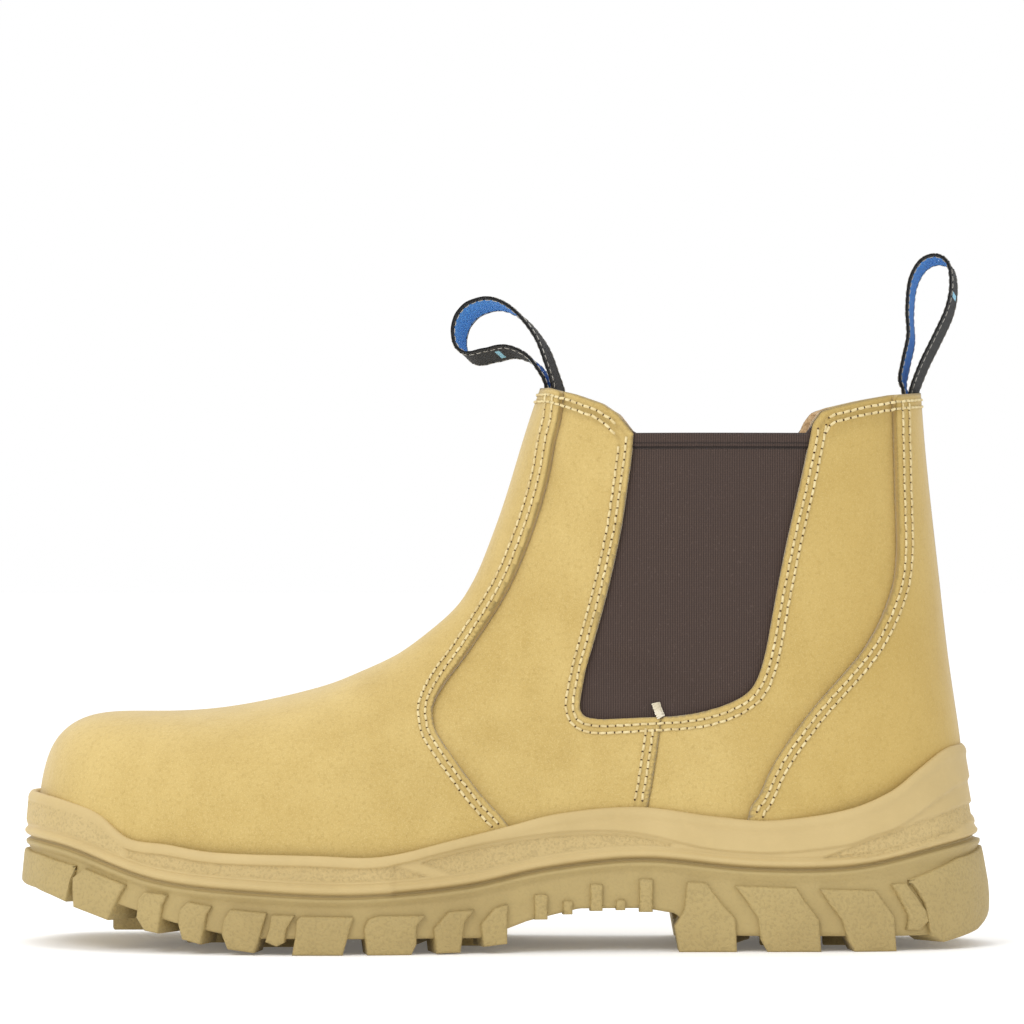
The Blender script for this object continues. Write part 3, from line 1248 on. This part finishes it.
def pull_loop(name, line, near_y, sweep, node):
    """Woven tape, black outside and blue inside, with sewn edges and plain woven bars."""
    path = smooth_line(line, 9)
    away = offset_line(path, 1.0) - path
    sweep = np.array(sweep) / np.linalg.norm(sweep)
    across = 13
    count = len(path)
    points = []
    faces = []
    kinds = []
    for sense in (1.0, -1.0):
        for k in range(count):
            for m in range(across):
                t = m / (across - 1)
                rim = 1 - 0.45 * max(0.0, abs(2 * t - 1) - 0.85) / 0.15
                ripple = 0.10 * math.sin(k * 0.9) * (abs(2 * t - 1) > 0.75)
                push = sense * (TAPE_THICKNESS / 2) * rim
                middle = np.array([path[k, 0], near_y, path[k, 1]]) + sweep * (TAPE_WIDTH * t + ripple)
                points.append(middle + push * np.array([away[k, 0], 0, away[k, 1]]))
    layer = count * across
    bars = {k for start in (26, 40, 78, 92) for k in range(start, start + 2)}
    for skin in (0, 1):
        for k in range(count - 1):
            for m in range(across - 1):
                a = skin * layer + k * across + m
                quad = (a, a + 1, a + across + 1, a + across)
                faces.append(quad if skin else quad[::-1])
                if skin == OUTSIDE_SKIN:
                    kinds.append(2 if k in bars and 3 <= m <= 8 else 0)
                else:
                    kinds.append(1 if 1 <= m < across - 2 else 0)
    for k in range(count - 1):
        for m in (0, across - 1):
            a = k * across + m
            quad = (a, a + across, layer + a + across, layer + a)
            faces.append(quad if m == 0 else quad[::-1])
            kinds.append(0)
    loop = new_object(name, points, faces, [BLACK_TAPE, BLUE_TAPE, PALE_MARK], face_material=kinds)
    places = []
    for t in (0.09, 0.91):
        centre = np.column_stack([path[:, 0], np.full(count, near_y), path[:, 1]]) + sweep * TAPE_WIDTH * t
        for sense in (1.0, -1.0):
            lift = sense * (TAPE_THICKNESS / 2) * np.column_stack([away[:, 0], np.zeros(count), away[:, 1]])
            up = sense * np.column_stack([away[:, 0], np.zeros(count), away[:, 1]])
            route = list(zip(centre + lift, up))
            places += even_steps(route[7:-7], 2.3)
    stitches = stitch_mesh(name + "_edge_stitches", places, PALE_THREAD, BLACK_TAPE,
                           length=1.7, radius=0.20, lift=0.02)
    for piece in (loop, stitches):
        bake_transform(piece)
    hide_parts(node)
    return loop


def make_loops():
    pull_loop("front_pull_tab", FRONT_LOOP_LINE, -5.5, (0.33, 0.90, -0.28), "front_pull_loop")
    pull_loop("rear_pull_tab", REAR_LOOP_LINE, -6.0, (0.20, 0.96, -0.20), "rear_pull_loop")


# ---- footbed -----------------------------------------------------------------------------------
PAD_INSET = 11.5
BOARD_TOP = 2.2


def floor_pad(name, low_rise, top_line, dish, material):
    """Closed layer lying in the bottom of the boot, its rim turned up by the dish at the heel."""
    count = len(WALL_LOW)
    edge = WALL_LOW[:, :2] - WALL_AWAY * PAD_INSET
    middle = np.column_stack([np.clip(edge[:, 0], -88, 92), np.interp(edge[:, 0], [-88, 92], [2.0, 0.0])])
    rings = 20
    points = []
    for share in np.linspace(0.04, 1, rings):
        spot = middle + (edge - middle) * share
        rise = dish * ramp(np.array(share), 0.72, 1.0) * ramp(spot[:, 0], -60, 60)
        points.append(np.column_stack([spot, height_at(top_line, spot[:, 0]) + rise]))
    for share in np.linspace(1, 0.04, rings):
        spot = middle + (edge - middle) * share
        points.append(np.column_stack([spot, height_at(CUP_FLOOR, spot[:, 0]) + low_rise]))
    return new_object(name, np.vstack(points), ring_faces(count, 2 * rings), material)


def make_footbed():
    """Removable foam footbed with its fabric cover, and the insole board under it."""
    footbed = floor_pad("footbed_pad", 2.6, FOOTBED_LINE, 2.4, FOOTBED)
    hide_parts("footbed_top_cover", "footbed")
    board_top = [(x, z + BOARD_TOP) for x, z in CUP_FLOOR]
    board = floor_pad("insole_board_sheet", 0.3, board_top, 0.0, BOARD)
    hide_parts("insole_board")
    return [footbed, board]


def bends(piece):
    """A piece that crosses the ball of the foot follows the toe in front and the boot behind."""
    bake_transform(piece)
    return piece


def dress_frame():
    """Materials for the hidden CAD pieces that keep their own shape."""
    for node, material in (
        ("steel_toe_cap", CAP_STEEL), ("toe_cap_edge_strip", FOAM), ("steel_shank", SHANK_STEEL),
        ("heel_counter_stiffener", STIFFENER),
    ):
        mesh = NODES[node].data
        mesh.materials.clear()
        mesh.materials.append(material)


def build():
    dress_frame()
    panels = make_panels()
    replaced = {
        "vamp": ["vamp_toe", "vamp_flex", "vamp_instep"], "back_panel": ["back_panel"],
        "front_outer": ["front_quarter_outer"], "front_inner": ["front_quarter_inner"],
        "rear_outer": ["rear_quarter_outer"], "rear_inner": ["rear_quarter_inner"],
        "gore_outer": ["gore_outer"], "gore_inner": ["gore_inner"],
        "lining": ["vamp_lining", "quarter_lining_outer", "quarter_lining_inner", "heel_lining"],
    }
    for key, piece in panels.items():
        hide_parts(*replaced[key])
        if key in ("vamp", "lining", "front_outer", "front_inner"):
            bends(piece)
        else:
            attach(piece, "boot")
    for piece in make_stitching():
        bends(piece)
    for piece in make_bar_tacks():
        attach(piece, "boot")
    bends(make_sole())
    make_lugs()
    make_loops()
    for layer in make_footbed():
        bends(layer)


# ---- floor, light and camera -------------------------------------------------------------------
FLOOR_HALF = 6000.0
CAMERA_LENS = 231.0
CAMERA_PLACE = (0.0025, -2.1, 0.151)
CAMERA_DOWN = 0.36
LIGHT_AIM = (0, 0, 0.08)
# Name, place in metres, power in watts and size in metres.
LIGHTS = [("key", (-0.9, -1.5, 1.5), 14.0, 0.9), ("top", (-0.3, 0.3, 1.9), 8.0, 1.2)]


def make_studio():
    """Pale floor, soft light from above and all round, and the camera at the boot's outer side."""
    n = Nodes("studio_floor")
    n.finish(n.mix(n.noise(3.0), rgb(0.93, 0.93, 0.93), rgb(0.96, 0.96, 0.96)), 0.75,
             Emission_Color=rgb(1, 1, 1), Emission_Strength=0.10)
    half = FLOOR_HALF
    corners = [(-half, -half, 0), (half, -half, 0), (half, half, 0), (-half, half, 0)]
    floor = new_object("studio_floor", corners, [(0, 1, 2, 3)], n.material, smooth=False)
    world = bpy.data.worlds.new("studio")
    world.use_nodes = True
    world.node_tree.nodes["Background"].inputs[0].default_value = (1.0, 1.0, 1.0, 1.0)
    world.node_tree.nodes["Background"].inputs[1].default_value = 1.0
    bpy.context.scene.view_settings.view_transform = "Standard"
    bpy.context.scene.world = world
    for name, place, power, size in LIGHTS:
        light = bpy.data.lights.new(name, "AREA")
        light.energy = power
        light.size = size
        lamp = bpy.data.objects.new(name, light)
        lamp.location = place
        lamp.rotation_euler = (Vector(LIGHT_AIM) - Vector(place)).to_track_quat("-Z", "Y").to_euler()
        bpy.context.scene.collection.objects.link(lamp)
    camera = bpy.data.cameras.new("camera")
    camera.lens = CAMERA_LENS
    camera.sensor_width = 36.0
    camera.clip_end = 50.0
    eye = bpy.data.objects.new("camera", camera)
    eye.location = CAMERA_PLACE
    eye.rotation_euler = (math.radians(90 - CAMERA_DOWN), 0.0, 0.0)
    bpy.context.scene.collection.objects.link(eye)
    bpy.context.scene.camera = eye


build()
make_studio()
